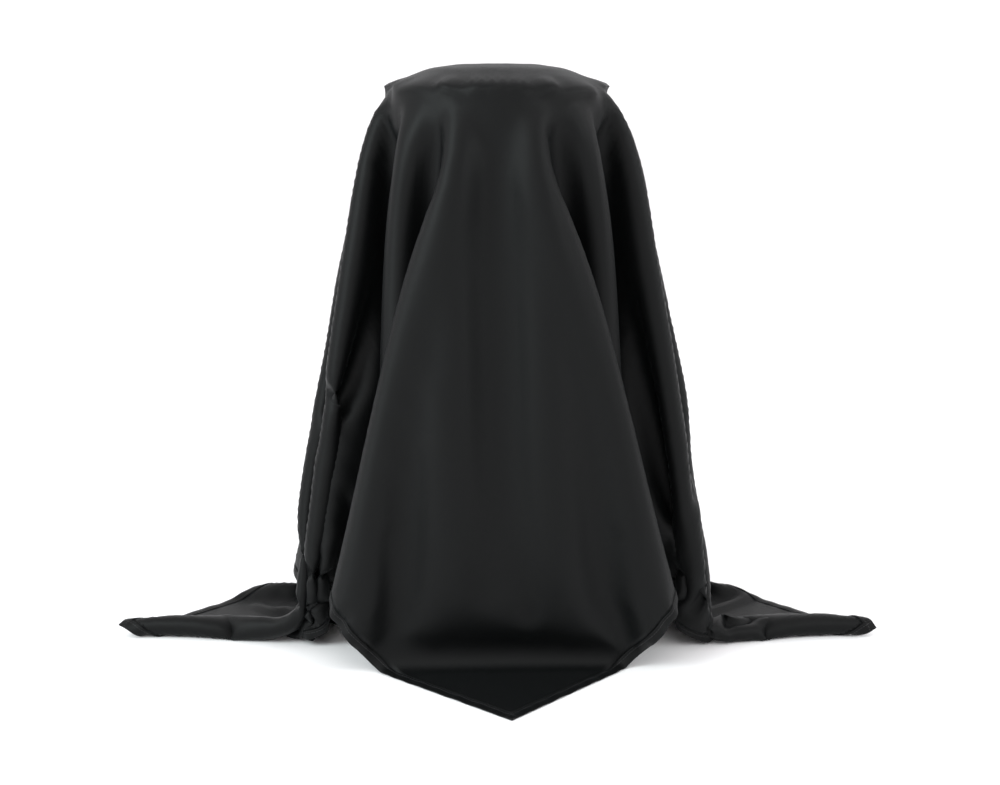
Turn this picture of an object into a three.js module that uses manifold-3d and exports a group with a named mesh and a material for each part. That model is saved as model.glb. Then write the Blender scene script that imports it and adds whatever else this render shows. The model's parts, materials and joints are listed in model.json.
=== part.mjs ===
// A square satin cape, laid over a round stand with one corner to the front, its side corners drawn
// out as wings and its neck opening in the middle of the back left edge.
// Millimetres, +Z up, +X to the viewer's right, +Y to the back, z = 0 on the table.
import * as THREE from "three";
import { mergeVertices } from "three/addons/utils/BufferGeometryUtils.js";
import Module from "manifold-3d";

const wasm = await Module();
wasm.setup();

// The cloth as cut
const SIDE = 1400; // each side of the square
const HALF_DIAGONAL = SIDE / Math.SQRT2;
const BACK_SHIFT = 94; // the square's middle lies this far behind the stand's axis
const CLOTH_HALF = 0.8; // half the thickness of the panel
const HEM_WIDTH = 12;
const HEM_UNDER = 0.8; // hem and neck band, below and above the middle of the cloth
const HEM_OVER = 1.8;
const GAP = 0.4; // between touching pieces
const ROOM = 0.9; // left round a piece where its neighbour is cut for it
const SEAM_INSET = 8.6; // from the edge to the row of stitches
const SEAM_WIDTH = 1.2;
const SEAM_HEIGHT = 0.6;
const SEAM_LIFT = 0.9; // from the face of the hem to the thread

// The stand's top, as the cloth shows it: radius and height, from the middle to the edge
const CROWN = [[0, 677], [44, 677], [78, 672], [108, 661.5], [124, 649]];
const RIM_RADIUS = 130;
const RIM_HEIGHT = 634;
const FLARE = 0.75; // under 1, the falls spread most just below the rim

// The neck opening, half an ellipse in the middle of the back left edge, and its closing tabs
const NECK_HALF_WIDTH = 95;
const NECK_DEPTH = 65;
const NECK_BAND = 14;
const NECK_SEAM = 10.6; // from the opening to the row of stitches
const NECK_STEPS = 20; // facets round the opening
const TAB_ROOT = 88.5; // from the middle of the opening
const TAB_PAST = 19; // how far each tab runs past the middle
const TAB_INSET = 10; // the tabs' middle line, in from the edge
const TAB_HALF_WIDTH = 9;
const TAB_HALF = 1.2; // half a tab's thickness
const TAB_INNER = -4.2; // middle of each tab, out from the line between the tabs' roots
const TAB_OUTER = 1.6;
const TAB_SEAM = 1.6; // in from the tab's outline
const TAB_SEAM_WIDTH = 0.8;
const TAB_CORNER = 7; // radius of the rounded end
const SNAP_PITCH = 30; // between the two sockets

// Where each fall ends, its foot, and where the edge of the cloth lies beyond it: for the right half,
// along one side of the square, from one corner (0) to the next (1). Each row is the place along the
// side, then the foot's x, y, z, then the edge's x, y, z, measured from the stand's axis.
const FRONT_EDGE = [
  [0.0, 0, -135, 0.8, 0, -251, 0.8],
  [0.05, 50, -136, 0.8, 47, -203, 0.8],
  [0.1, 98, -137, 6, 97, -158, 0.8],
  [0.15, 146, -136, 50, 143, -137, 28],
  [0.2, 180, -127, 95, 178, -127, 73],
  [0.25, 187, -101, 127, 187, -101, 105],
  [0.31, 167, -84, 151, 167, -84, 129],
  [0.38, 139, -75, 164, 138, -75, 142],
  [0.47, 140, -46, 172, 140, -46, 150],
  [0.56, 168, -42, 146, 166, -42, 122],
  [0.64, 194, -50, 106, 188, -42, 78],
  [0.72, 212, -56, 66, 208, -32, 38],
  [0.79, 226, -52, 34, 240, -18, 5],
  [0.86, 235, -44, 18, 296, 4, 3.6],
  [0.93, 240, -32, 16, 376, 10, 3.6],
  [0.97, 242, -20, 17, 414, 2, 3.6],
];
const BACK_EDGE = [
  [0.0, 243, -5, 18, 440, -14, 11],
  [0.03, 243, 12, 18, 434, 0, 18],
  [0.06, 243, 30, 16, 404, 50, 10],
  [0.09, 242, 48, 13, 378, 92, 1.6],
  [0.13, 240, 72, 9, 336, 128, 0.8],
  [0.18, 250, 106, 12, 318, 134, 3],
  [0.24, 290, 128, 28, 304, 138, 9],
  [0.3, 286, 138, 39, 292, 142, 16],
  [0.36, 278, 143, 47, 282, 144, 23],
  [0.42, 270, 145, 54, 272, 146, 30],
  [0.46, 234, 184, 58, 236, 186, 34],
  [0.5, 194, 218, 59, 196, 220, 35],
  [0.54, 150, 248, 58, 152, 250, 34],
  [0.58, 105, 280, 54, 106, 282, 30],
  [0.64, 103, 291, 44, 104, 292, 20],
  [0.7, 94, 296, 30, 97, 306, 9],
  [0.76, 82, 290, 16, 88, 324, 2],
  [0.82, 74, 230, 6, 76, 344, 0.8],
  [0.88, 60, 180, 3, 57, 372, 0.8],
  [0.94, 36, 160, 0.8, 29, 412, 0.8],
  [1.0, 0, 154, 0.8, 0, 455, 0.8],
];
const FRONT_TIP_OFFSET = 24; // the front corner points a little to the right
const FOOT_OFFSET = 7;
const AXIS_Y = -102; // puts the middle of the whole outline's box on the origin

// Places on the edge are numbered round the cape: 0 front corner, 1 right, -1 left, 2 and -2 back.
const NECK_T = -1.5;
const NECK_END = (NECK_HALF_WIDTH + NECK_BAND + 2 * GAP) / SIDE;
const MITRE = 0.5 / SIDE; // each hem stops this far short of a corner
const HEMS = {
  front_right: [MITRE, 1 - MITRE],
  front_left: [-1 + MITRE, -MITRE],
  back_right: [1 + MITRE, 2 - MITRE],
  back_left_near_wing: [NECK_T + NECK_END, -1 - MITRE],
  back_left_near_tail: [-2 + MITRE, NECK_T - NECK_END],
};
const RAILS = [...FRONT_EDGE, ...BACK_EDGE.map(([t, ...rest]) => [1 + t, ...rest])];

function mirrored([t, fx, fy, fz, ex, ey, ez]) {
  return [-t, -fx, fy, fz, -ex, ey, ez];
}

// The rails of the whole edge, run past both ends so that the curve through them closes.
function closedRails() {
  const left = RAILS.slice(1).map(mirrored).reverse();
  const ring = [...left, ...RAILS];
  const before = RAILS.slice(-3, -1).map(([t, ...rest]) => [t - 4, ...rest]);
  const after = left.slice(1, 3).map(([t, ...rest]) => [t + 4, ...rest]);
  return [...before, ...ring, ...after];
}
const RING = closedRails();

// A smooth curve through the rails: foot and edge points at place t.
function railAt(t) {
  let k = RING.findIndex((row) => row[0] > t) - 1;
  k = Math.min(Math.max(k, 1), RING.length - 3);
  const [a, b, c, d] = RING.slice(k - 1, k + 3);
  const span = c[0] - b[0];
  const u = (t - b[0]) / span;
  const value = (i) => {
    const slopeB = ((c[i] - a[i]) / (c[0] - a[0])) * span;
    const slopeC = ((d[i] - b[i]) / (d[0] - b[0])) * span;
    const [u2, u3] = [u * u, u * u * u];
    return b[i] * (2 * u3 - 3 * u2 + 1) + slopeB * (u3 - 2 * u2 + u)
      + c[i] * (3 * u2 - 2 * u3) + slopeC * (u3 - u2);
  };
  const foot = new THREE.Vector3(value(1) + FOOT_OFFSET, value(2), Math.max(value(3), CLOTH_HALF));
  const edge = new THREE.Vector3(value(4), value(5), Math.max(value(6), CLOTH_HALF));
  const front = THREE.MathUtils.smoothstep(-edge.y, 90, 250);
  const side = THREE.MathUtils.smoothstep(Math.abs(edge.x), 240, 400);
  edge.x += FOOT_OFFSET * (1 - side) + (FRONT_TIP_OFFSET - FOOT_OFFSET) * front;
  return { foot, edge };
}

// Where place t lies on the cloth as cut, from the point over the stand's axis.
function cutPoint(t) {
  const corner = [[0, -1], [1, 0], [0, 1], [-1, 0]];
  const turn = ((t % 4) + 4) % 4;
  const k = Math.min(Math.floor(turn), 3);
  const [from, to] = [corner[k], corner[(k + 1) % 4]];
  const mix = turn - k;
  const x = (from[0] + (to[0] - from[0]) * mix) * HALF_DIAGONAL;
  const y = (from[1] + (to[1] - from[1]) * mix) * HALF_DIAGONAL + BACK_SHIFT;
  return new THREE.Vector2(x, y);
}

// How much longer a width square to the edge becomes along the fall at place t.
function slant(t) {
  const distance = (HALF_DIAGONAL + (Math.cos((t * Math.PI) / 2) > 0 ? -1 : 1) * BACK_SHIFT) / Math.SQRT2;
  return cutPoint(t).length() / distance;
}

// The middle of the cloth at place t, so far in from the edge along the fall.
function onCloth(t, inset) {
  const { foot, edge } = railAt(t);
  const apron = foot.distanceTo(edge);
  if (inset <= apron) return edge.clone().lerp(foot, inset / apron);
  const cut = cutPoint(t);
  const rim = new THREE.Vector2(cut.x, cut.y).normalize().multiplyScalar(RIM_RADIUS);
  const fall = Math.hypot(foot.x - rim.x, foot.y - rim.y, foot.z - RIM_HEIGHT);
  const part = Math.max(1 - (inset - apron) / fall, 0);
  const spread = Math.pow(part, FLARE);
  return new THREE.Vector3(
    rim.x + (foot.x - rim.x) * spread,
    rim.y + (foot.y - rim.y) * spread,
    RIM_HEIGHT + (foot.z - RIM_HEIGHT) * part,
  );
}

function fallLength(t) {
  const { foot, edge } = railAt(t);
  const rim = cutPoint(t).normalize().multiplyScalar(RIM_RADIUS);
  const fall = Math.hypot(foot.x - rim.x, foot.y - rim.y, foot.z - RIM_HEIGHT);
  return { apron: foot.distanceTo(edge), fall };
}

// The cloth along its edge at place t: a point on the edge, the way in, and the outward normal. The
// band of hem and the panel's last row share it, so that they stay the same distance apart.
function edgeFrame(t) {
  const width = HEM_WIDTH * slant(t);
  const origin = onCloth(t, 0);
  const inward = onCloth(t, width).sub(origin).normalize();
  const along = onCloth(t + 0.004, 0).sub(onCloth(t - 0.004, 0));
  const normal = along.cross(inward).normalize();
  return { origin, inward, normal };
}

function bandPoint({ origin, inward, normal }, inset, height) {
  return origin.clone().addScaledVector(inward, inset).addScaledVector(normal, height);
}

// A point of the cloth further in than the hem, lifted off it along the edge's normal.
function lifted(t, inset, height) {
  return onCloth(t, inset).addScaledVector(edgeFrame(t).normal, height);
}

function solidOf(geometry) {
  const bare = new THREE.BufferGeometry();
  bare.setAttribute("position", geometry.getAttribute("position"));
  bare.setIndex(geometry.getIndex());
  const merged = mergeVertices(bare, 1e-4);
  const vertProperties = new Float32Array(merged.getAttribute("position").array);
  const triVerts = new Uint32Array(merged.getIndex().array);
  return new wasm.Manifold(new wasm.Mesh({ numProp: 3, vertProperties, triVerts }));
}

// The geometry with its neighbours' room cut out of it, and any loose crumb of it dropped.
function cutFor(geometry, ...neighbours) {
  let solid = solidOf(geometry);
  for (const neighbour of neighbours) solid = solid.subtract(solidOf(neighbour));
  const bodies = solid.decompose().sort((a, b) => b.volume() - a.volume());
  const mesh = bodies[0].simplify(0.02).getMesh();
  const cut = new THREE.BufferGeometry();
  cut.setAttribute("position", new THREE.BufferAttribute(mesh.vertProperties, 3));
  cut.setIndex(new THREE.BufferAttribute(mesh.triVerts, 1));
  return cut;
}

function edgeDistance(t) {
  return (t - NECK_T) * SIDE;
}

// A closed body from a row of sections, each a ring of points, with the first and last filled in.
function loft(rings) {
  const position = [];
  const index = [];
  const n = rings[0].length;
  for (const ring of rings) for (const p of ring) position.push(p.x, p.y, p.z);
  const quad = (a, b, c, d) => index.push(a, c, b, a, d, c);
  const end = (rings.length - 1) * n;
  for (let i = 0; i < end; i += n) {
    for (let k = 0; k < n; k++) {
      const m = (k + 1) % n;
      quad(i + k, i + n + k, i + n + m, i + m);
    }
  }
  for (let k = 1; k < n - 1; k++) {
    index.push(0, k + 1, k);
    index.push(end, end + k, end + k + 1);
  }
  const geometry = new THREE.BufferGeometry();
  geometry.setAttribute("position", new THREE.Float32BufferAttribute(position, 3));
  geometry.setIndex(index);
  return geometry;
}

// Places along the edge: every rail, and the points between that the shape needs.
function places() {
  const list = [];
  for (let k = 2; k < RING.length - 3; k++) {
    const [from, to] = [RING[k][0], RING[k + 1][0]];
    const tip = Math.abs(Math.abs(from + to) / 2 - 1) < 0.05;
    const parts = tip ? 3 : to - from > 0.045 ? 2 : 1;
    for (let i = 0; i < parts; i++) list.push(from + ((to - from) * i) / parts);
  }
  const reach = (NECK_HALF_WIDTH + NECK_BAND + GAP) / SIDE;
  const kept = list.filter((t) => Math.abs(t - NECK_T) > reach + 0.008);
  const hemEnd = reach + (2 * GAP) / SIDE;
  const round = neckAngles().map((angle) => NECK_T + reach * Math.cos(angle));
  return [...kept, NECK_T - hemEnd, NECK_T + hemEnd, ...round].sort((a, b) => a - b);
}

function neckAngles() {
  return Array.from({ length: NECK_STEPS + 1 }, (_, k) => Math.PI * (1 - k / NECK_STEPS));
}

// How far in from the edge the panel stops at place t.
function panelInset(t) {
  const hem = (HEM_WIDTH + GAP) * slant(t);
  const halfWidth = NECK_HALF_WIDTH + NECK_BAND + GAP;
  const across = edgeDistance(t) / halfWidth;
  if (Math.abs(across) >= 1) return hem;
  return Math.max(hem, (NECK_DEPTH + NECK_BAND + GAP) * Math.sqrt(1 - across * across));
}

// The middle of the cloth down one fall, from beside the crown's middle to the panel's edge.
function fallPoints(t) {
  const { apron, fall } = fallLength(t);
  const direction = cutPoint(t).normalize();
  const points = CROWN.slice(1).map(([r, z]) => new THREE.Vector3(direction.x * r, direction.y * r, z));
  const last = panelInset(t);
  for (const part of [0, 0.2, 0.45, 0.72]) points.push(onCloth(t, apron + fall * (1 - part)));
  const low = Math.max(apron, last + 6);
  points.push(onCloth(t, low + 0.04 * fall));
  const bend = onCloth(t, low).multiplyScalar(2);
  bend.add(onCloth(t, low + 8)).add(onCloth(t, Math.max(low - 8, last + 3)));
  points.push(bend.multiplyScalar(0.25));
  points.push(onCloth(t, (last + low) / 2));
  points.push(onCloth(t, last));
  return points;
}

// The two faces' points of the panel: offset along the cloth's normal, or the edge's in the last row.
function panelGeometry() {
  const stations = places();
  const columns = stations.map(fallPoints);
  const rows = columns[0].length;
  const count = columns.length;
  const position = [0, 0, CROWN[0][1]];
  for (const column of columns) for (const p of column) position.push(p.x, p.y, p.z);
  const at = (i, j) => 1 + (i % count) * rows + j;
  const index = [];
  for (let i = 0; i < count; i++) {
    index.push(0, at(i, 0), at(i + 1, 0));
    for (let j = 0; j < rows - 1; j++) {
      index.push(at(i, j), at(i, j + 1), at(i + 1, j + 1), at(i, j), at(i + 1, j + 1), at(i + 1, j));
    }
  }
  const middle = new THREE.BufferGeometry();
  middle.setAttribute("position", new THREE.Float32BufferAttribute(position, 3));
  middle.setIndex(index);
  middle.computeVertexNormals();
  const normal = middle.getAttribute("normal");
  stations.forEach((t, i) => normal.setXYZ(at(i, rows - 1), ...edgeFrame(t).normal));
  const total = position.length / 3;
  const both = [];
  for (const side of [1, -1]) {
    for (let v = 0; v < total; v++) {
      const shift = side * CLOTH_HALF;
      both.push(position[3 * v] + shift * normal.getX(v));
      both.push(position[3 * v + 1] + shift * normal.getY(v));
      both.push(Math.max(position[3 * v + 2] + shift * normal.getZ(v), side > 0 ? 2 * CLOTH_HALF : 0));
    }
  }
  const faces = [...index];
  for (let k = 0; k < index.length; k += 3) {
    faces.push(total + index[k], total + index[k + 2], total + index[k + 1]);
  }
  for (let i = 0; i < count; i++) {
    const [a, b] = [at(i, rows - 1), at(i + 1, rows - 1)];
    faces.push(a, total + a, total + b, a, total + b, b);
  }
  const geometry = new THREE.BufferGeometry();
  geometry.setAttribute("position", new THREE.Float32BufferAttribute(both, 3));
  geometry.setIndex(faces);
  return geometry;
}

// A strip that follows the edge between two places. Its section is a ring of points, each an inset
// square to the edge and a height off the middle of the cloth.
function edgeStrip(from, to, outline, lowest = 0) {
  const inside = places().filter((t) => t > from + 1e-4 && t < to - 1e-4);
  const rings = [from, ...inside, to].map((t) => {
    const frame = edgeFrame(t);
    const k = slant(t);
    return outline.map(([inset, height]) => bandPoint(frame, inset * k, height));
  });
  for (const ring of rings) for (const p of ring) p.z = Math.max(p.z, lowest);
  return loft(rings);
}

// A strip round the neck opening, its section's first number the distance outside the opening.
function neckStrip(outline) {
  const rings = neckAngles().map((angle) => outline.map(([beyond, height]) => {
    const across = (NECK_HALF_WIDTH + beyond) * Math.cos(angle);
    const inset = (NECK_DEPTH + beyond) * Math.sin(angle);
    return lifted(NECK_T + across / SIDE, inset, height);
  }));
  return loft(rings);
}

function bar(low, high, under, over) {
  return [[low, under], [high, under], [high, over], [low, over]];
}

// A hem's or band's section, with points beside the row of stitches so that the face lies true there.
function bandOutline(width, seam) {
  return [
    [0, -HEM_UNDER],
    [width, -HEM_UNDER],
    [width, HEM_OVER],
    [seam + SEAM_WIDTH, HEM_OVER],
    [seam, HEM_OVER],
    [0, HEM_OVER],
  ];
}

function seamOutline(seam) {
  return bar(seam, seam + SEAM_WIDTH, HEM_OVER + SEAM_LIFT, HEM_OVER + SEAM_LIFT + SEAM_HEIGHT);
}

// The frame of the closure: +X from the tail's side of the opening to the wing's, +Z out of the cape.
function closureFrame() {
  const [near, far] = [1, -1].map((side) => onCloth(NECK_T + (side * TAB_ROOT) / SIDE, TAB_INSET));
  const x = near.clone().sub(far);
  const middle = near.clone().add(far).multiplyScalar(0.5);
  const up = onCloth(NECK_T, TAB_INSET + 20).sub(onCloth(NECK_T, TAB_INSET));
  const reach = x.length() / 2;
  x.normalize();
  const y = up.addScaledVector(x, -up.dot(x)).normalize();
  const place = new THREE.Matrix4().makeBasis(x, y, x.clone().cross(y)).setPosition(middle);
  return { place, reach };
}

// A tab's outline from its root at x = 0 to its rounded end, drawn in by a margin.
function tabOutline(length, margin, Kind) {
  const round = TAB_CORNER - margin;
  const half = TAB_HALF_WIDTH - margin;
  const end = length - margin;
  const outline = new Kind();
  outline.moveTo(margin, -half);
  outline.lineTo(end - round, -half);
  outline.absarc(end - round, -half + round, round, -Math.PI / 2, 0);
  outline.absarc(end - round, half - round, round, 0, Math.PI / 2);
  outline.lineTo(margin, half);
  outline.closePath();
  return outline;
}

function extruded(shape, depth, offset) {
  const geometry = new THREE.ExtrudeGeometry(shape, { depth, bevelEnabled: false, curveSegments: 5 });
  return geometry.translate(0, 0, offset);
}

// A ring or disc of revolution, its profile closed, turned to stand along +Z.
function turned(profile) {
  const points = profile.map(([r, z]) => new THREE.Vector2(r, z));
  return new THREE.LatheGeometry(points, 20).rotateX(Math.PI / 2);
}

const SATIN = { color: 0x1c1d1f, roughness: 0.42, metalness: 0.0 };
const SATIN_HEM = { color: 0x17181a, roughness: 0.46, metalness: 0.0 };
const THREAD = { color: 0x0d0e0f, roughness: 0.65, metalness: 0.0 };
const STEEL = { color: 0xb4b6b8, roughness: 0.28, metalness: 1.0 };

const cape = new THREE.Group();
cape.position.y = AXIS_Y;

function add(name, geometry, look, parent = cape) {
  const mesh = new THREE.Mesh(geometry, new THREE.MeshStandardMaterial(look));
  mesh.name = name;
  parent.add(mesh);
  return mesh;
}

// The room that a hem and its stitching take up, with a gap all round.
function hemRoom([from, to]) {
  const low = -HEM_UNDER - ROOM;
  const high = HEM_OVER + SEAM_LIFT + SEAM_HEIGHT + ROOM;
  return edgeStrip(from - MITRE, to + MITRE, bar(-ROOM, HEM_WIDTH + ROOM, low, high), low);
}

function addPanel() {
  add("satin_panel", cutFor(panelGeometry(), ...Object.values(HEMS).map(hemRoom)), SATIN);
}

// Each hem is a band along the edge, with a row of stitches on its outer face. Where two hems meet
// at a wing's tip, the front one runs through.
function addHems() {
  const frontRooms = [hemRoom(HEMS.front_right), hemRoom(HEMS.front_left)];
  for (const [name, [from, to]] of Object.entries(HEMS)) {
    const band = edgeStrip(from, to, bandOutline(HEM_WIDTH, SEAM_INSET));
    const stitches = edgeStrip(from, to, seamOutline(SEAM_INSET));
    const meetsFront = name.startsWith("back");
    add(`hem_${name}`, meetsFront ? cutFor(band, ...frontRooms) : band, SATIN_HEM);
    add(`stitching_${name}`, meetsFront ? cutFor(stitches, ...frontRooms) : stitches, THREAD);
  }
}

function addNeckBand() {
  add("neck_band", neckStrip(bandOutline(NECK_BAND, NECK_SEAM)), SATIN_HEM);
  add("stitching_neck_band", neckStrip(seamOutline(NECK_SEAM)), THREAD);
}

// Each tab starts at its end of the opening (side 1 near the wing, -1 near the tail) and runs across.
function addTab(name, side, reach, height, parent) {
  const length = reach + TAB_PAST;
  const turn = side > 0 ? Math.PI : 0;
  const place = (geometry) => geometry.rotateZ(turn).translate(side * reach, 0, 0);
  const body = extruded(tabOutline(length, 0, THREE.Shape), 2 * TAB_HALF, height - TAB_HALF);
  add(name, place(body), SATIN_HEM, parent);
  const seam = tabOutline(length, TAB_SEAM, THREE.Shape);
  seam.holes.push(tabOutline(length, TAB_SEAM + TAB_SEAM_WIDTH, THREE.Path));
  const stitches = extruded(seam, SEAM_HEIGHT, height + TAB_HALF + GAP);
  add(`stitching_${name}`, place(stitches), THREAD, parent);
}

// One press snap: the cap and stud are on the outer tab, the socket and its back ring on the inner.
function addSnap(parent) {
  const face = TAB_OUTER + TAB_HALF + GAP;
  const cap = [[0, face], [6, face], [6, face + 0.5], [4.6, face + 1.3], [0, face + 1.6]];
  add("snap_cap", turned(cap), STEEL, parent);
  const under = TAB_OUTER - TAB_HALF - GAP;
  const post = under - 1.6;
  const flange = under - 0.5;
  const stud = [[0, post], [2.2, post], [2.2, flange], [5, flange], [5, under], [0, under]];
  add("snap_stud", turned(stud), STEEL, parent);
  for (const [k, name] of ["snap_socket", "snap_socket_wide_neck"].entries()) {
    const front = TAB_INNER + TAB_HALF + GAP;
    const ring = [[2.9, front], [5.5, front], [5.5, front + 1.7], [2.9, front + 1.7], [2.9, front]];
    add(name, turned(ring).translate(-k * SNAP_PITCH, 0, 0), STEEL, parent);
    const back = TAB_INNER - TAB_HALF - GAP;
    const ringBack = [[1.8, back - 0.9], [5.5, back - 0.9], [5.5, back], [1.8, back], [1.8, back - 0.9]];
    add(`${name}_back`, turned(ringBack).translate(-k * SNAP_PITCH, 0, 0), STEEL, parent);
  }
}

function addClosure() {
  const { place, reach } = closureFrame();
  const closure = new THREE.Group();
  closure.applyMatrix4(place);
  cape.add(closure);
  addTab("neck_tab_outer", 1, reach, TAB_OUTER, closure);
  addTab("neck_tab_inner", -1, reach, TAB_INNER, closure);
  addSnap(closure);
}

addPanel();
addHems();
addNeckBand();
addClosure();

export default cape;
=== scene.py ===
"""A square black satin barber cape, laid corner-forward over a round stand.

Metres, +Z up, -Y towards the viewer, z = 0 on the table. The cloth starts as a pleated drape worked out
from its falls, one for each place round its edge, and a small cloth solver below then relaxes it at its
cut size. Every visible piece is built on that one surface.
"""

import json
import math

import bpy
import numpy as np
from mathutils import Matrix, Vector


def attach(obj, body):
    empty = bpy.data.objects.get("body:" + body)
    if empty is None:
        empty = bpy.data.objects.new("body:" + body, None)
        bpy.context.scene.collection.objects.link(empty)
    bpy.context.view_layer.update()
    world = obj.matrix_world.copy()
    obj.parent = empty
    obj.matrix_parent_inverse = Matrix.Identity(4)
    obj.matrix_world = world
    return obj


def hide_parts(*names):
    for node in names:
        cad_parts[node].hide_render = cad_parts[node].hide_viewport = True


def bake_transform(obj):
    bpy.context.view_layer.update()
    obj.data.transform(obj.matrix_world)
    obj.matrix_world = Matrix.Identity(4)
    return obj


MM = 0.001

# The cloth as cut
SIDE = 1.4
HALF_DIAGONAL = SIDE / math.sqrt(2)
BACK_SHIFT = 0.094  # the square's middle lies this far behind the stand's axis
CELLS = 100  # along each side, for the cloth solver

# The stand under it
AXIS_Y = -0.102
CROWN = [(0.0, 677.0), (44.0, 677.0), (78.0, 672.0), (106.0, 661.0), (120.0, 649.0), (127.0, 634.0)]
RIM_RADIUS = 127.0
RIM_HEIGHT = 634.0
RIM_ARC = 146.0  # along the cloth, from over the axis to the rim

# The falls of the right half, in millimetres from the stand's axis. Each row is the place round the edge
# (0 front corner, 1 side corner, 2 back corner), the rim angle from the front, the foot's x, y and z, the
# edge's x, y and z, and how firmly the place is held. A foot with no z hangs free, as long as it is cut.
FALLS = [
    (0.00, 0, 0, -134, 1, 0, -252, 1, 0.10),
    (0.05, 7, 50, -136, 1, 48, -204, 1, 0.08),
    (0.10, 14, 98, -137, 3, 99, -162, 1, 0.10),
    (0.15, 21, 146, -134, None, 0, 0, 0, 0.30),
    (0.19, 27, 177, -129, None, 0, 0, 0, 0.80),
    (0.22, 31, 188, -117, None, 0, 0, 0, 0.95),
    (0.25, 35, 180, -104, None, 0, 0, 0, 0.60),
    (0.35, 46, 34, -96, None, 0, 0, 0, 0.02),
    (0.45, 60, 150, -78, None, 0, 0, 0, 0.30),
    (0.56, 68, 24, -46, None, 0, 0, 0, 0.02),
    (0.66, 75, 176, -46, None, 0, 0, 0, 0.30),
    (0.70, 78, 206, -54, 66, 203, -50, 62, 0.80),
    (0.75, 81, 222, -58, 46, 216, -34, 22, 0.90),
    (0.80, 84, 232, -54, 32, 250, -16, 5, 0.90),
    (0.86, 87, 238, -44, 20, 300, 6, 4, 0.80),
    (0.93, 90, 242, -32, 17, 376, 14, 4, 0.80),
    (0.97, 93, 243, -20, 17, 416, 4, 4, 0.50),
    (1.00, 95, 243, -8, 17, 443, -14, 13, 0.60),
    (1.03, 97, 243, 12, 17, 434, 6, 17, 0.50),
    (1.06, 100, 243, 30, 15, 406, 50, 8, 0.40),
    (1.09, 103, 242, 48, 12, 378, 92, 2, 0.40),
    (1.13, 107, 238, 70, 8, 336, 128, 1, 0.30),
    (1.18, 113, 234, 94, 3, 302, 138, 1, 0.10),
    (1.30, 122, 180, 48, 1, 176, 40, 1, 0.02),
    (1.42, 132, 270, 145, 54, 272, 146, 30, 0.30),
    (1.46, 136, 234, 184, 58, 236, 186, 34, 0.10),
    (1.50, 140, 194, 218, 59, 196, 220, 35, 0.10),
    (1.54, 144, 150, 248, 58, 152, 250, 34, 0.10),
    (1.58, 148, 105, 280, 54, 106, 282, 30, 0.30),
    (1.69, 158, 44, 162, 1, 40, 120, 1, 0.02),
    (1.80, 166, 82, 232, 2, 116, 292, 1, 0.10),
    (1.88, 171, 62, 182, 1, 92, 352, 1, 0.20),
    (1.94, 175, 34, 160, 1, 50, 402, 1, 0.20),
    (2.00, 180, 0, 154, 1, 0, 454, 1, 0.30),
]
FRONT_TIP_OFFSET = 24.0
FOOT_OFFSET = 7.0
SIDE_FLARE = 0.76  # under 1, the falls spread most just below the rim; the front ones run straight
BASE_HOLD = 0.015

# The cloth solver. These values and the holds above were picked to match the look of the drape; they
# aren't measured from satin.
BENDING = 0.04
ROUNDS = 5
HOLD_STEPS = 30  # ticks over which a point held with 1 - 1/e goes to its start
DRAG = 3.0
GRIP = 0.6  # share of a slide on the table or the stand that friction takes back
TABLE_GAP = 0.0012
SETTLING_SECONDS = 0.8
TICK = 1 / 240
GRAVITY = 9.81

# The neck opening, half an ellipse in the middle of the back left edge
NECK_HALF_WIDTH = 0.095
NECK_DEPTH = 0.065
NECK_BAND = 0.014
NECK_SEAM = 0.0106
NECK_RUN = 0.268  # round the outline, through the middle of the band
NECK_SAMPLES = 110
# Millimetres from its middle: the cloth keeps its start up to the first, and less and less to the second
NECK_PINNED = (120, 190)

# The sewn pieces, in metres
CLOTH_THICKNESS = 0.0006
PANEL_CELLS = 200
HEM_WIDTH = 0.012
HEM_SEAM = 0.0086
HEM_STEP = 0.0035
PUCKER = 0.00028
STITCH_PITCH = 0.0034
STITCH_LENGTH = 0.0027
THREAD_RADIUS = 0.0003

# The closing tabs: the part's own sizes
TAB_PAST = 0.019
TAB_HALF_WIDTH = 0.009
TAB_HALF = 0.0012
TAB_INNER = -0.0042
TAB_OUTER = 0.0016
TABS_APART = TAB_OUTER - TAB_INNER
TAB_SEAM = 0.0016
TAB_CORNER = 0.007
SNAP_PITCH = 0.030

# The camera: a little below the crown's height, turned down
CAMERA_PLACE = (0.0033, -1.839, 0.643)
CAMERA_PITCH = 11.22
CAMERA_LENS = 54

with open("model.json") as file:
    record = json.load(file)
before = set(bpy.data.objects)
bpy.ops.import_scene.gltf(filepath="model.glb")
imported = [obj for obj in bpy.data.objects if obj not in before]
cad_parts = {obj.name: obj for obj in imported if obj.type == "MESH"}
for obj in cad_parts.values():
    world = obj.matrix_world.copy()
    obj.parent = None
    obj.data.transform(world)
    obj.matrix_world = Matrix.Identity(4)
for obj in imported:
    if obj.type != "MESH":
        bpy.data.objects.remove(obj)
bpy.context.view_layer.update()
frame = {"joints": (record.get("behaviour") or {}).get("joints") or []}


# ---------------------------------------------------------------- the start of the drape


def cut_point(place):
    """Where places round the edge lie on the cloth as cut, in millimetres from over the axis."""
    turn = np.mod(place, 4.0)
    corner = np.array([[0, -1], [1, 0], [0, 1], [-1, 0], [0, -1]], float)
    k = np.minimum(np.floor(turn).astype(int), 3)
    mix = (turn - k)[:, None]
    point = corner[k] * (1 - mix) + corner[k + 1] * mix
    return (point * HALF_DIAGONAL + [0, BACK_SHIFT]) / MM


def mirrored(row):
    """The same fall on the left half."""
    place, angle, x, y, z, edge_x, edge_y, edge_z, hold = row
    return (-place, -angle, -x, y, z, -edge_x, edge_y, edge_z, hold)


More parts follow.
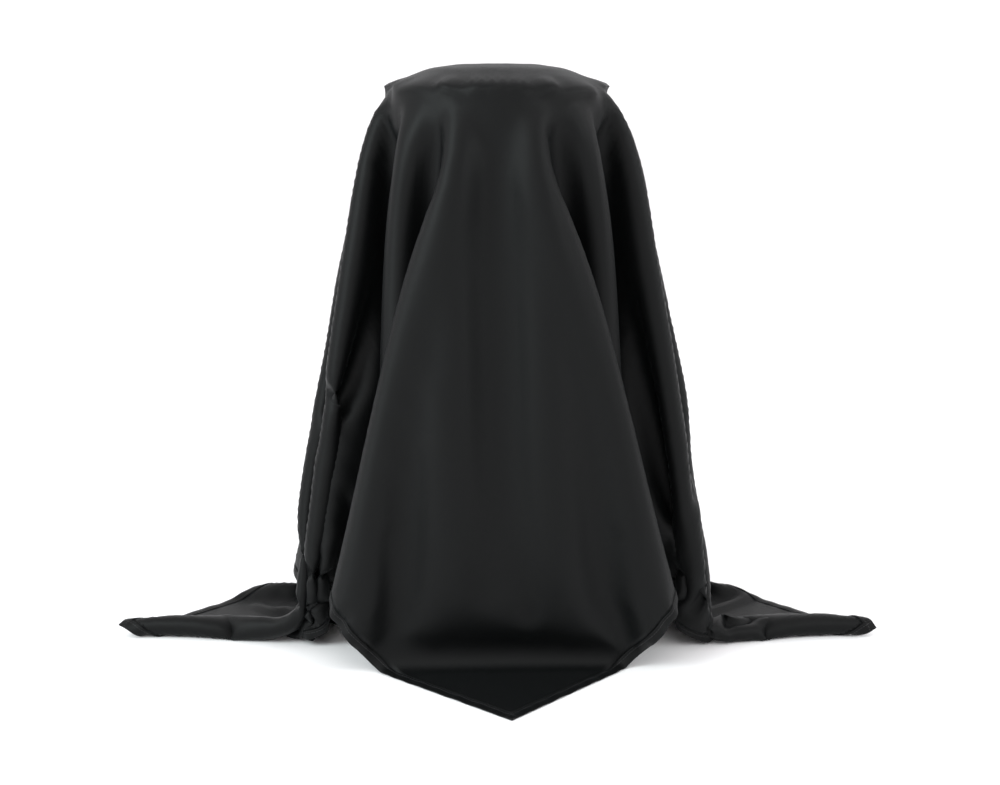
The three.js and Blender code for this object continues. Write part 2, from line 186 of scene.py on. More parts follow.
def all_falls():
    """Every fall from the left of the back corner round to it again, with hanging feet at their height."""
    rows = [mirrored(row) for row in reversed(FALLS[1:])] + FALLS
    table = []
    for place, angle, x, y, z, edge_x, edge_y, edge_z, hold in rows:
        turn = math.radians(angle)
        if z is None:
            cut = cut_point(np.array([place]))[0]
            length = math.dist(cut, (RIM_ARC * math.sin(turn), -RIM_ARC * math.cos(turn)))
            reach = math.dist((x, y), (RIM_RADIUS * math.sin(turn), -RIM_RADIUS * math.cos(turn)))
            z = max(RIM_HEIGHT - math.sqrt(length**2 - reach**2), 1.0)
            edge_x, edge_y, edge_z = x, y, z
        table.append((place, angle, x, y, z, edge_x, edge_y, edge_z, hold))
    table = np.array(table)
    before, after = table[-3:-1].copy(), table[1:3].copy()
    before[:, :2] -= [4, 360]
    after[:, :2] += [4, 360]
    return np.vstack([before, table, after])


def smooth(rows, at):
    """A smooth curve through the rows' values, whose first column is the place."""
    k = np.clip(np.searchsorted(rows[:, 0], at, side="right") - 1, 1, len(rows) - 3)
    a, b, c, d = rows[k - 1], rows[k], rows[k + 1], rows[k + 2]
    span = (c[:, 0] - b[:, 0])[:, None]
    u = (at[:, None] - b[:, :1]) / span
    slope_b = (c - a) / (c[:, :1] - a[:, :1]) * span
    slope_c = (d - b) / (d[:, :1] - b[:, :1]) * span
    start = b * (2 * u**3 - 3 * u**2 + 1) + slope_b * (u**3 - 2 * u**2 + u)
    return start + c * (3 * u**2 - 2 * u**3) + slope_c * (u**3 - u**2)


def smoothstep(low, high, value):
    t = np.clip((value - low) / (high - low), 0, 1)
    return t * t * (3 - 2 * t)


def sampled_falls(count=3200):
    """Falls at even places all round, with their rims and edges on the cut and their places in the drape."""
    place = np.linspace(-2, 2, count, endpoint=False)
    row = smooth(all_falls(), place)
    turn = np.radians(row[:, 1])
    out = np.stack([np.sin(turn), -np.cos(turn)], axis=1)
    foot, edge = row[:, 2:5].copy(), row[:, 5:8].copy()
    foot[:, 2] = np.maximum(foot[:, 2], 1)
    edge[:, 2] = np.maximum(edge[:, 2], 1)
    front = smoothstep(90, 250, -edge[:, 1])
    side = smoothstep(240, 400, np.abs(edge[:, 0]))
    foot[:, 0] += FOOT_OFFSET
    edge[:, 0] += FOOT_OFFSET * (1 - side) + (FRONT_TIP_OFFSET - FOOT_OFFSET) * front
    rim = np.column_stack([out * RIM_RADIUS, np.full(count, RIM_HEIGHT)])
    flare = 1 + (SIDE_FLARE - 1) * smoothstep(0.3, 0.65, np.abs(place))
    return {"place": place, "cut_rim": out * RIM_ARC, "cut_edge": cut_point(place), "rim": rim, "foot": foot,
            "edge": edge, "flare": flare, "hold": row[:, 8]}


def start_of_drape(cut):
    """Start positions and holds for points of the cut, in millimetres from over the axis."""
    falls = sampled_falls()
    radius = np.linalg.norm(cut, axis=1)
    angle = np.arctan2(cut[:, 0], -cut[:, 1])
    along = falls["cut_edge"] - falls["cut_rim"]
    length = np.linalg.norm(along, axis=1)
    position = np.zeros((len(cut), 3))
    hold = np.full(len(cut), BASE_HOLD)
    for i, point in enumerate(cut):
        if radius[i] <= RIM_ARC:
            position[i] = crown_point(radius[i], angle[i])
            hold[i] = 0.1
            continue
        offset = point - falls["cut_rim"]
        across = (along[:, 0] * offset[:, 1] - along[:, 1] * offset[:, 0]) / length
        reached = (along * offset).sum(1) / length
        usable = np.where(reached > -1, np.abs(across), np.inf)
        k = int(np.argmin(usable))
        part = min(max(reached[k] / length[k], 0), 1)
        position[i] = down_the_fall(falls, k, part)
        low = smoothstep(-0.1, 0.4, np.array([part]))[0]
        hold[i] = BASE_HOLD + (falls["hold"][k] - BASE_HOLD) * low
    return position, hold


def crown_point(radius, angle):
    """A point of the cloth on the stand's top, an arc length out from the middle."""
    points = np.array(CROWN)
    arcs = np.concatenate([[0], np.cumsum(np.linalg.norm(np.diff(points, axis=0), axis=1))])
    arc = radius / RIM_ARC * arcs[-1]
    out = np.interp(arc, arcs, points[:, 0])
    return np.array([out * math.sin(angle), -out * math.cos(angle), np.interp(arc, arcs, points[:, 1])])


def down_the_fall(falls, k, part):
    """A share of the way from the rim to the edge, by the foot."""
    rim, foot, edge = falls["rim"][k], falls["foot"][k], falls["edge"][k]
    fall, apron = math.dist(rim, foot), math.dist(foot, edge)
    gone = part * (fall + apron)
    if gone > fall:
        return foot + (edge - foot) * (gone - fall) / apron
    down = gone / fall
    spread = down ** falls["flare"][k]
    return np.array([rim[0] + (foot[0] - rim[0]) * spread, rim[1] + (foot[1] - rim[1]) * spread,
                     rim[2] + (foot[2] - rim[2]) * down])


def cut_grid():
    """The solver's grid on the cut. Its first index runs from the front corner to the right one."""
    step = np.linspace(0, 1, CELLS + 1)
    a, b = np.meshgrid(step, step, indexing="ij")
    across = (a - b) * HALF_DIAGONAL
    back = (a + b - 1) * HALF_DIAGONAL + BACK_SHIFT
    return np.stack([across, back], axis=-1).reshape(-1, 2)


# ---------------------------------------------------------------- the simulation


def pairs(shape, step_a, step_b, parity):
    """Index arrays of grid points joined by one step, every other one, so that no point is in two pairs."""
    rows, columns = shape
    i, j = np.meshgrid(np.arange(rows), np.arange(columns), indexing="ij")
    run = i // step_a if step_a else j // abs(step_b)
    keep = (i + step_a < rows) & (j + step_b < columns) & (j + step_b >= 0) & (run % 2 == parity)
    first = (i * columns + j)[keep]
    return first, first + step_a * columns + step_b


def springs():
    """The solver's pairs of points, with their distance as cut and their stiffness when long and when short."""
    cell = SIDE / CELLS
    shape = (CELLS + 1, CELLS + 1)
    rows = []
    for step_a, step_b, length, long, short in (
        (1, 0, cell, 1.0, 0.75),
        (0, 1, cell, 1.0, 0.75),
        (1, 1, cell * math.sqrt(2), 0.9, 0.5),
        (1, -1, cell * math.sqrt(2), 0.9, 0.5),
        (2, 0, 2 * cell, 0.0, BENDING),
        (0, 2, 2 * cell, 0.0, BENDING),
        (4, 0, 4 * cell, 0.0, BENDING / 2),
        (0, 4, 4 * cell, 0.0, BENDING / 2),
    ):
        for parity in (0, 1):
            first, second = pairs(shape, step_a, step_b, parity)
            rows.append((first, second, length, long, short))
    return rows


def pull_together(points, row):
    """Moves each pair towards its distance as cut."""
    first, second, length, long, short = row
    gap = points[second] - points[first]
    distance = np.maximum(np.linalg.norm(gap, axis=1, keepdims=True), 1e-6)
    share = np.where(distance > length, long, short) * (1 - length / distance) / 2
    points[first] += gap * share
    points[second] -= gap * share


def off_the_stand(points, crown):
    """Points inside the stand's top, moved out to its face."""
    flat = points[:, :2] - [0, AXIS_Y]
    radius = np.linalg.norm(flat, axis=1)
    height = np.interp(radius, crown[:, 0], crown[:, 1], right=-1)
    under = (radius < crown[-1, 0]) & (points[:, 2] < height) & (points[:, 2] > RIM_HEIGHT * MM - 0.03)
    sideways = under & (radius > 0.11)
    upwards = under & ~sideways
    points[upwards, 2] = height[upwards]
    out = crown[-1, 0] / np.maximum(radius[sideways], 1e-6)
    points[sideways, :2] = flat[sideways] * out[:, None] + [0, AXIS_Y]
    return under


def settled_cloth(seconds):
    """The cloth grid after it has relaxed towards its cut size, as points (CELLS + 1, CELLS + 1, 3)."""
    cut = cut_grid() / MM
    start, hold = start_of_drape(cut)
    start = start * MM + [0, AXIS_Y, 0]
    hold = np.maximum(hold, 1 - smoothstep(*NECK_PINNED, neck_distance(cut)))[:, None]
    pull = 1 - (1 - np.minimum(hold, 0.9999)) ** (1 / HOLD_STEPS)
    crown = np.array(CROWN) * MM
    rows = springs()
    points, speed = start.copy(), np.zeros_like(start)
    for _ in range(int(seconds / TICK)):
        speed[:, 2] -= GRAVITY * TICK
        speed *= 1 - DRAG * TICK
        moved = points + speed * TICK
        for _ in range(ROUNDS):
            for row in rows:
                pull_together(moved, row)
        moved += (start - moved) * pull
        touching = off_the_stand(moved, crown) | (moved[:, 2] < TABLE_GAP)
        moved[:, 2] = np.maximum(moved[:, 2], TABLE_GAP)
        moved[touching, :2] += (points[touching, :2] - moved[touching, :2]) * GRIP
        speed = (moved - points) / TICK
        points = moved
    return points.reshape(CELLS + 1, CELLS + 1, 3)


def neck_distance(cut):
    """How far points of the cut lie from the middle of the back left edge, in millimetres."""
    return np.linalg.norm(cut - cut_point(np.array([-1.5]))[0], axis=1)


# ---------------------------------------------------------------- the settled surface


class Cloth:
    """The settled grid as a smooth surface over the cut, a and b each 0 to 1 from the front corner."""

    def __init__(self, grid):
        inner = np.pad(grid, ((2, 2), (2, 2), (0, 0)), mode="edge")
        for side, step in ((1, 1), (0, 2)):
            inner[side] = 2 * inner[2] - inner[2 + step]
            inner[-1 - side] = 2 * inner[-3] - inner[-3 - step]
        for side, step in ((1, 1), (0, 2)):
            inner[:, side] = 2 * inner[:, 2] - inner[:, 2 + step]
            inner[:, -1 - side] = 2 * inner[:, -3] - inner[:, -3 - step]
        self.grid = inner

    def points(self, a, b):
        i, u = self.cell(a)
        j, v = self.cell(b)
        total = np.zeros((len(a), 3))
        for m, weight_a in enumerate(self.weights(u)):
            for n, weight_b in enumerate(self.weights(v)):
                total += self.grid[i + m, j + n] * (weight_a * weight_b)[:, None]
        total[:, 2] = np.maximum(total[:, 2], TABLE_GAP)
        return total

    def frames(self, a, b):
        """Points, and unit normals out of the cape."""
        step = 0.003
        along_a = self.points(a + step, b) - self.points(a - step, b)
        along_b = self.points(a, b + step) - self.points(a, b - step)
        normal = np.cross(along_a, along_b)
        return self.points(a, b), normal / np.maximum(np.linalg.norm(normal, axis=1, keepdims=True), 1e-9)

    @staticmethod
    def cell(t):
        place = np.clip(t * CELLS, -0.9, CELLS + 0.9)
        k = np.clip(np.floor(place).astype(int), 0, CELLS - 1)
        return k + 1, place - k

    @staticmethod
    def weights(u):
        return (
            (-u + 2 * u**2 - u**3) / 2,
            (2 - 5 * u**2 + 3 * u**3) / 2,
            (u + 4 * u**2 - 3 * u**3) / 2,
            (-(u**2) + u**3) / 2,
        )


def pucker(run):
    """The lift of cloth and hem where the stitching gathers them, by the distance along the edge."""
    short = np.sin(run / 0.0041 + 1.3 * np.sin(run / 0.031))
    long = 0.7 * np.sin(run / 0.0067 + 2 * np.sin(run / 0.05))
    return PUCKER * (short + long)


# ---------------------------------------------------------------- pieces


def mesh_object(name, vertices, faces):
    mesh = bpy.data.meshes.new(name)
    points = [tuple(float(t) for t in v) for v in vertices]
    mesh.from_pydata(points, [], [tuple(int(k) for k in f) for f in faces])
    mesh.update()
    obj = bpy.data.objects.new(name, mesh)
    bpy.context.scene.collection.objects.link(obj)
    return obj


def grid_faces(rows, columns):
    """The faces of a grid whose points run along its second side first, seen from outside the cape."""
    i, j = np.meshgrid(np.arange(rows - 1), np.arange(columns - 1), indexing="ij")
    first = (i * columns + j).ravel()
    return np.stack([first, first + columns, first + columns + 1, first + 1], axis=1)


def finish_mesh(name, vertices, faces, uv, material):
    obj = mesh_object(name, vertices, faces)
    mesh = obj.data
    layer = mesh.uv_layers.new(name="Cut")
    corner = np.empty(len(mesh.loops), np.int32)
    mesh.loops.foreach_get("vertex_index", corner)
    layer.data.foreach_set("uv", np.asarray(uv, np.float32)[corner].ravel())
    mesh.polygons.foreach_set("use_smooth", np.ones(len(mesh.polygons), bool))
    mesh.materials.append(material)
    return obj


def shell(name, points, normals, faces, uv, material, thickness):
    """A closed sheet: two faces a thickness apart, walled round their border."""
    count = len(points)
    outer = points + normals * thickness / 2
    inner = points - normals * thickness / 2
    inner[:, 2] = np.maximum(inner[:, 2], 0.0002)
    used = dict.fromkeys((face[k], face[(k + 1) % 4]) for face in faces for k in range(4))
    border = [(a, b) for a, b in used if (b, a) not in used]
    walls = [(b, a, a + count, b + count) for a, b in border]
    under = faces[:, ::-1] + count
    every = [tuple(f) for f in faces] + [tuple(f) for f in under] + walls
    return finish_mesh(name, np.vstack([outer, inner]), every, np.vstack([uv, uv]), material)


def panel(cloth, material):
    """The satin, as far as the hems, with the neck opening cut out."""
    margin = (HEM_WIDTH - 0.0006) / SIDE
    step = np.linspace(margin, 1 - margin, PANEL_CELLS + 1)
    a, b = (t.ravel() for t in np.meshgrid(step, step, indexing="ij"))
    reach = np.array([NECK_HALF_WIDTH + NECK_BAND - 0.0008, NECK_DEPTH + NECK_BAND - 0.0008]) / SIDE
    across, inset = (a - 0.5) / reach[0], (1 - b) / reach[1]
    inside = np.hypot(across, inset)
    faces = grid_faces(PANEL_CELLS + 1, PANEL_CELLS + 1)
    faces = faces[(inside[faces] > 1).any(1)]
    moved_out = inside < 1
    a = np.where(moved_out, 0.5 + across / np.maximum(inside, 1e-6) * reach[0], a)
    b = np.where(moved_out, 1 - inset / np.maximum(inside, 1e-6) * reach[1], b)
    kept, index = np.unique(faces, return_inverse=True)
    faces = index.reshape(faces.shape)
    a, b = a[kept], b[kept]
    points, normals = cloth.frames(a, b)
    for along, depth in ((a, b), (b, a), (a, 1 - b), (b, 1 - a)):
        points += normals * (pucker(along * SIDE) * np.exp(-depth * SIDE / 0.012))[:, None]
    uv = np.column_stack([a, b]) * SIDE
    return shell("satin_panel_cloth", points, normals, faces, uv, material, CLOTH_THICKNESS)


def strip(name, cloth, path, section, material, lift):
    """A closed band along a path on the cut. The path gives (a, b) for a run and an inset, and the section
    is a ring of insets and heights off the cloth."""
    runs = path["runs"]
    rings = []
    for inset, height in section:
        a, b = path["at"](runs, inset)
        points, normals = cloth.frames(a, b)
        ring = points + normals * (height + lift(runs) * path["share"](inset))[:, None]
        ring[:, 2] = np.maximum(ring[:, 2], 0.0002)
        rings.append(ring)
    n = len(section)
    vertices = np.stack(rings, axis=1).reshape(-1, 3)
    uv = np.column_stack([np.repeat(runs, n), np.tile([i for i, _ in section], len(runs))])
    faces = []
    for k in range(len(runs) - 1):
        for m in range(n):
            o = (m + 1) % n
            faces.append((k * n + m, k * n + o, (k + 1) * n + o, (k + 1) * n + m))
    faces.append(tuple(range(n - 1, -1, -1)))
    faces.append(tuple((len(runs) - 1) * n + m for m in range(n)))
    return finish_mesh(name, vertices, faces, uv, material)


def edge_path(which, low, high):
    """The path of a hem along one side of the square, from one share of the side to another."""
    runs = np.linspace(low * SIDE, high * SIDE, max(int((high - low) * SIDE / HEM_STEP), 2) + 1)

    def at(run, inset):
        along, depth = run / SIDE, np.full(len(run), inset / SIDE)
        places = {"front right": (along, depth), "front left": (depth, along),
                  "back right": (1 - depth, along), "back left": (along, 1 - depth)}
        return places[which]

    return {"runs": runs, "at": at, "share": lambda inset: 1.0}


def neck_path():
    """The path of the band round the neck opening: runs are measured round its outline."""
    turn = np.linspace(math.pi, 0, NECK_SAMPLES)
    runs = np.linspace(0, NECK_RUN, NECK_SAMPLES)

    def at(run, beyond):
        angle = np.interp(run, runs, turn)
        across = (NECK_HALF_WIDTH + beyond) * np.cos(angle)
        inset = (NECK_DEPTH + beyond) * np.sin(angle)
        return 0.5 + across / SIDE, 1 - inset / SIDE

    return {"runs": runs, "at": at, "share": lambda inset: 0.0}


def band_section(width, seam):
    """A turned and stitched band: rounded at its fold, dented along the stitches."""
    top = [(-0.0003, 0.0), (0.0, 0.0007), (0.0012, 0.0011), (seam - 0.0016, 0.0012), (seam, 0.0008),
           (seam + 0.0016, 0.0012), (width - 0.0006, 0.0010), (width, 0.0005)]
    return top + [(width - 0.0002, -0.0006), (0.0004, -0.0006)]


def stitches(name, cloth, path, seam, material, lift):
    """A row of separate stitches, each a short bead of thread lying in the seam."""
    low, high = path["runs"][0] + 0.002, path["runs"][-1] - 0.002
    middles = np.arange(low, high, STITCH_PITCH)
    ends = []
    for shift in (-STITCH_LENGTH / 2, STITCH_LENGTH / 2):
        a, b = path["at"](middles + shift, seam)
        points, normals = cloth.frames(a, b)
        ends.append((points, normals))
    forward = ends[1][0] - ends[0][0]
    forward /= np.linalg.norm(forward, axis=1, keepdims=True)
    normal = ends[0][1] + ends[1][1]
    normal /= np.linalg.norm(normal, axis=1, keepdims=True)
    side = np.cross(forward, normal)
    raised = 0.0011 + lift(middles) * path["share"](seam)
    middle = (ends[0][0] + ends[1][0]) / 2 + normal * raised[:, None]
    rings = [(-0.5, 0.35), (-0.32, 0.9), (0.0, 1.1), (0.32, 0.9), (0.5, 0.35)]
    sides = 6
    vertices = []
    for place, size in rings:
        for k in range(sides):
            turn = 2 * math.pi * k / sides
            out = side * math.cos(turn) + normal * math.sin(turn)
            vertices.append(middle + forward * place * STITCH_LENGTH + out * size * THREAD_RADIUS)
    vertices = np.stack(vertices, axis=1).reshape(-1, 3)
    per = len(rings) * sides
    one = [(r * sides + k, (r + 1) * sides + k, (r + 1) * sides + (k + 1) % sides, r * sides + (k + 1) % sides)
           for r in range(len(rings) - 1) for k in range(sides)]
    one += [tuple(range(sides)), tuple(per - 1 - k for k in range(sides))]
    faces = [tuple(v + per * m for v in face) for m in range(len(middles)) for face in one]
    uv = np.repeat(np.column_stack([middles, np.zeros(len(middles))]), per, axis=0)
    vertices[:, 2] = np.maximum(vertices[:, 2], 0.0002)
    return finish_mesh(name, vertices, faces, uv, material)


# ---------------------------------------------------------------- the closure


def closure():
    """The closure's own frame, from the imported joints: x from the tail's side to the wing's, z out."""
    joints = {joint["name"]: joint for joint in frame["joints"]}
    outer = np.array(joints["outer_tab_swing"]["pos_m"])
    inner = np.array(joints["inner_tab_swing"]["pos_m"])
    y = np.array(joints["outer_tab_swing"]["axis"])
    y /= np.linalg.norm(y)
    apart = outer - inner
    apart -= y * (apart @ y)
    across = apart / np.linalg.norm(apart)
    out = np.cross(across, y)
    turn = math.asin(TABS_APART / np.linalg.norm(apart))
    x = across * math.cos(turn) - out * math.sin(turn)
    z = np.cross(x, y)
    middle = (outer + inner) / 2 - z * (TAB_OUTER + TAB_INNER) / 2
    return {"x": x, "y": y, "z": z, "middle": middle, "reach": (outer - middle) @ x}


def in_closure(place, x, y, z):
    return place["middle"] + np.outer(x, place["x"]) + np.outer(y, place["y"]) + np.outer(z, place["z"])


def tab(name, cloth, place, side, height, material):
    """A neck tab: a turned strip sewn on the band, across to its rounded end past the middle."""
    length = place["reach"] + TAB_PAST
    tip = TAB_CORNER
    along = np.concatenate([np.linspace(-0.012, 0, 9)[:-1], np.linspace(0, length - tip, 40)[:-1],
                            length - tip + tip * np.sin(np.linspace(0, math.pi / 2, 9))])
    half = np.where(along > length - tip, TAB_HALF_WIDTH - tip + np.sqrt(np.maximum(
        tip**2 - (along - length + tip) ** 2, 0)), TAB_HALF_WIDTH)
    half = np.maximum(half, 0.0008)
    turns = np.linspace(0, 2 * math.pi, 24, endpoint=False)
    across = np.sign(np.cos(turns)) * np.abs(np.cos(turns)) ** 0.5
    up = np.sign(np.sin(turns)) * np.abs(np.sin(turns)) ** 0.6
    seat = np.array([0.5 + side * -1 * (place["reach"] + 0.012) / SIDE])
    base, normal = cloth.frames(seat, np.array([1 - 0.010 / SIDE]))
    local = base[0] + normal[0] * 0.0021 - place["middle"]
    drop = local @ place["z"] - height
    vertices = []
    for run, wide in zip(along, half):
        sink = drop * smoothstep(0, 1, -run / 0.012)
        bow = 0.0006 * math.sin(run / length * math.pi * 2.2)
        x = np.full(len(turns), side * (place["reach"] - run))
        y = across * wide
        z = up * TAB_HALF + height + sink + bow
        vertices.append(in_closure(place, x, y, z))
    n = len(turns)
    faces = []
    for k in range(len(along) - 1):
        for m in range(n):
            o = (m + 1) % n
            quad = (k * n + m, (k + 1) * n + m, (k + 1) * n + o, k * n + o)
            faces.append(quad if side < 0 else quad[::-1])
    first, last = tuple(range(n)), tuple((len(along) - 1) * n + m for m in range(n))
    faces += [first, last[::-1]] if side < 0 else [first[::-1], last]
    uv = np.column_stack([np.repeat(along, n), np.tile(across * TAB_HALF_WIDTH, len(along))])
    return finish_mesh(name, np.vstack(vertices), faces, uv, material)


def tab_stitches(name, place, side, height, material):
    """The stitches round a tab, just inside its outline."""
    length = place["reach"] + TAB_PAST - TAB_SEAM
    half = TAB_HALF_WIDTH - TAB_SEAM
    corner = TAB_CORNER - TAB_SEAM
    outline = [(0.002, -half), (length - corner, -half)]
    for k in range(1, 6):
        turn = -math.pi / 2 + k * math.pi / 12
        outline.append((length - corner + corner * math.cos(turn), -half + corner + corner * math.sin(turn)))
    for k in range(0, 6):
        turn = k * math.pi / 12
        outline.append((length - corner + corner * math.cos(turn), half - corner + corner * math.sin(turn)))
    outline += [(length - corner, half), (0.002, half)]
    outline = np.array(outline)
    steps = np.concatenate([[0], np.cumsum(np.linalg.norm(np.diff(outline, axis=0), axis=1))])
    middles = np.arange(0.002, steps[-1] - 0.002, STITCH_PITCH)
    vertices, faces = [], []
    rings = [(-0.5, 0.35), (-0.3, 0.95), (0.3, 0.95), (0.5, 0.35)]
    sides = 6
    for number, run in enumerate(middles):
        x = np.interp([run - 0.0005, run, run + 0.0005], steps, outline[:, 0])
        y = np.interp([run - 0.0005, run, run + 0.0005], steps, outline[:, 1])
        heading = np.array([x[2] - x[0], y[2] - y[0]])
        heading /= np.linalg.norm(heading)
        for at, size in rings:
            for k in range(sides):
                turn = 2 * math.pi * k / sides
                flat = np.array([x[1], y[1]]) + heading * at * STITCH_LENGTH
                flat += np.array([-heading[1], heading[0]]) * math.cos(turn) * size * THREAD_RADIUS
                rise = height + TAB_HALF + math.sin(turn) * size * THREAD_RADIUS
                vertices.append((side * (place["reach"] - flat[0]), flat[1], rise))
        first = number * len(rings) * sides
        for r in range(len(rings) - 1):
            for k in range(sides):
                m = (k + 1) % sides
                a, b = first + r * sides, first + (r + 1) * sides
                faces.append((a + k, a + m, b + m, b + k))
        faces.append(tuple(first + sides - 1 - k for k in range(sides)))
        faces.append(tuple(first + (len(rings) - 1) * sides + k for k in range(sides)))
    local = np.array(vertices)
    vertices = in_closure(place, local[:, 0], local[:, 1], local[:, 2])
    return finish_mesh(name, vertices, faces, local[:, :2], material)


def turned(name, place, profile, offset, material, steps=48):
    """A small turned piece of the snap, its closed profile given as radius and height, in millimetres."""
    rings = []
    for radius, z in profile:
        turn = np.linspace(0, 2 * math.pi, steps, endpoint=False)
        radius = max(radius, 0.02) * MM
        height = np.full(steps, z * MM)
        rings.append(in_closure(place, offset + radius * np.cos(turn), radius * np.sin(turn), height))
    faces = []
    for r in range(len(profile)):
        s = (r + 1) % len(profile)
        for k in range(steps):
            m = (k + 1) % steps
            faces.append((r * steps + k, r * steps + m, s * steps + m, s * steps + k))
    vertices = np.vstack(rings)
    return finish_mesh(name, vertices, faces, (vertices - place["middle"])[:, :2], material)


# ---------------------------------------------------------------- materials


def node(tree, kind, **values):
    made = tree.nodes.new(kind)
    for key, value in values.items():
        if key in made.inputs:
            made.inputs[key].default_value = value
        else:
            setattr(made, key, value)
    return made


def satin(name, color, roughness, sheen):
    """Black satin: fine slanting threads, broad uneven dye and a soft sheen along the weave."""
    material = bpy.data.materials.new(name)
    material.use_nodes = True
    tree = material.node_tree
    surface = tree.nodes["Principled BSDF"]
    cut = tree.nodes.new("ShaderNodeUVMap")
    cut.uv_map = "Cut"
    threads_place = node(tree, "ShaderNodeMapping")
    threads_place.inputs["Scale"].default_value = (26, 900, 1)
    threads_place.inputs["Rotation"].default_value = (0, 0, math.radians(4))
    threads = node(tree, "ShaderNodeTexNoise", Scale=1.0, Detail=4.0, Roughness=0.6)
    broad = node(tree, "ShaderNodeTexNoise", Scale=5.0, Detail=3.0, Roughness=0.5)
    weave = node(tree, "ShaderNodeTexWave", Scale=420.0, Distortion=1.5, Detail=2.0)
    tree.links.new(cut.outputs["UV"], threads_place.inputs["Vector"])
    tree.links.new(threads_place.outputs["Vector"], threads.inputs["Vector"])
    tree.links.new(cut.outputs["UV"], broad.inputs["Vector"])
    tree.links.new(cut.outputs["UV"], weave.inputs["Vector"])
    dye = node(tree, "ShaderNodeMix", data_type="RGBA")
    dye.inputs["A"].default_value = (*[c * 0.75 for c in color], 1)
    dye.inputs["B"].default_value = (*[c * 1.3 for c in color], 1)
    mixed = node(tree, "ShaderNodeMath", operation="ADD")
    halved = node(tree, "ShaderNodeMath", operation="MULTIPLY")
    halved.inputs[1].default_value = 0.5
    tree.links.new(threads.outputs["Fac"], mixed.inputs[0])
    tree.links.new(broad.outputs["Fac"], mixed.inputs[1])
    tree.links.new(mixed.outputs["Value"], halved.inputs[0])
    tree.links.new(halved.outputs["Value"], dye.inputs["Factor"])
    color_out = [o for o in dye.outputs if o.type == "RGBA"][0]
    tree.links.new(color_out, surface.inputs["Base Color"])
    rough = node(tree, "ShaderNodeMapRange")
    rough.inputs["To Min"].default_value = roughness - 0.06
    rough.inputs["To Max"].default_value = roughness + 0.08
    tree.links.new(halved.outputs["Value"], rough.inputs["Value"])
    tree.links.new(rough.outputs["Result"], surface.inputs["Roughness"])
    bump = node(tree, "ShaderNodeBump", Strength=0.35, Distance=0.0002)
    relief = node(tree, "ShaderNodeMath", operation="ADD")
    tree.links.new(threads.outputs["Fac"], relief.inputs[0])
    tree.links.new(weave.outputs["Fac"], relief.inputs[1])
    tree.links.new(relief.outputs["Value"], bump.inputs["Height"])
    tree.links.new(bump.outputs["Normal"], surface.inputs["Normal"])
    surface.inputs["Specular IOR Level"].default_value = 0.13
    surface.inputs["Sheen Weight"].default_value = sheen
    surface.inputs["Sheen Roughness"].default_value = 0.35
    surface.inputs["Sheen Tint"].default_value = (0.80, 0.92, 0.95, 1)
    return material


def thread_material():
    material = bpy.data.materials.new("Black thread")
    material.use_nodes = True
    tree = material.node_tree
    surface = tree.nodes["Principled BSDF"]
    twist = node(tree, "ShaderNodeTexWave", Scale=900.0, Distortion=0.5)
    shade = node(tree, "ShaderNodeMapRange")
    shade.inputs["To Min"].default_value = 0.45
    shade.inputs["To Max"].default_value = 0.7
    tree.links.new(twist.outputs["Fac"], shade.inputs["Value"])
    tree.links.new(shade.outputs["Result"], surface.inputs["Roughness"])
    surface.inputs["Base Color"].default_value = (0.012, 0.012, 0.013, 1)
    return material


def steel_material():
    material = bpy.data.materials.new("Nickel-plated steel")
    material.use_nodes = True
    tree = material.node_tree
    surface = tree.nodes["Principled BSDF"]
    wear = node(tree, "ShaderNodeTexNoise", Scale=300.0, Detail=5.0, Roughness=0.7)
    shade = node(tree, "ShaderNodeMapRange")
    shade.inputs["To Min"].default_value = 0.18
    shade.inputs["To Max"].default_value = 0.42
    tree.links.new(wear.outputs["Fac"], shade.inputs["Value"])
    tree.links.new(shade.outputs["Result"], surface.inputs["Roughness"])
    surface.inputs["Base Color"].default_value = (0.62, 0.63, 0.64, 1)
    surface.inputs["Metallic"].default_value = 1.0
    return material


# ---------------------------------------------------------------- the object


def belongs(obj, body, slot, *nodes):
    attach(obj, body)
    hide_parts(*nodes)
    return obj


def build_cape(cloth):
    """Every visible piece, in place of its nodes; all but the sewn tabs and their stitches hang on their body.
    """
    body_satin = satin("Black satin", (0.0026, 0.0029, 0.0030), 0.44, 0.02)
    hem_satin = satin("Black satin, turned", (0.0024, 0.0026, 0.0027), 0.46, 0.02)
    thread = thread_material()
    steel = steel_material()
    sheet = belongs(panel(cloth, body_satin), "cape", "satin", "satin_panel")
    end = (NECK_HALF_WIDTH + NECK_BAND + 0.0004) / SIDE
    mitre = 0.0002 / SIDE
    hems = {
        "front_right": ("front right", mitre, 1 - mitre),
        "front_left": ("front left", mitre, 1 - mitre),
        "back_right": ("back right", mitre, 1 - mitre),
        "back_left_near_wing": ("back left", mitre, 0.5 - end),
        "back_left_near_tail": ("back left", 0.5 + end, 1 - mitre),
    }
    section = band_section(HEM_WIDTH, HEM_SEAM)
    for name, (which, low, high) in hems.items():
        path = edge_path(which, low, high)
        turned_in = section if which in ("front right", "back left") else section[::-1]
        hem = strip(f"turned_hem_{name}", cloth, path, turned_in, hem_satin, pucker)
        belongs(hem, "cape", "satin_hem", f"hem_{name}")
        row = stitches(f"stitches_{name}", cloth, path, HEM_SEAM, thread, pucker)
        belongs(row, "cape", "thread", f"stitching_{name}")
    around = neck_path()
    band = strip("turned_neck_band", cloth, around, band_section(NECK_BAND, NECK_SEAM), hem_satin, pucker)
    belongs(band, "cape", "satin_hem", "neck_band")
    row = stitches("stitches_neck_band", cloth, around, NECK_SEAM, thread, pucker)
    belongs(row, "cape", "thread", "stitching_neck_band")
    build_closure(cloth, hem_satin, thread, steel)
    return sheet


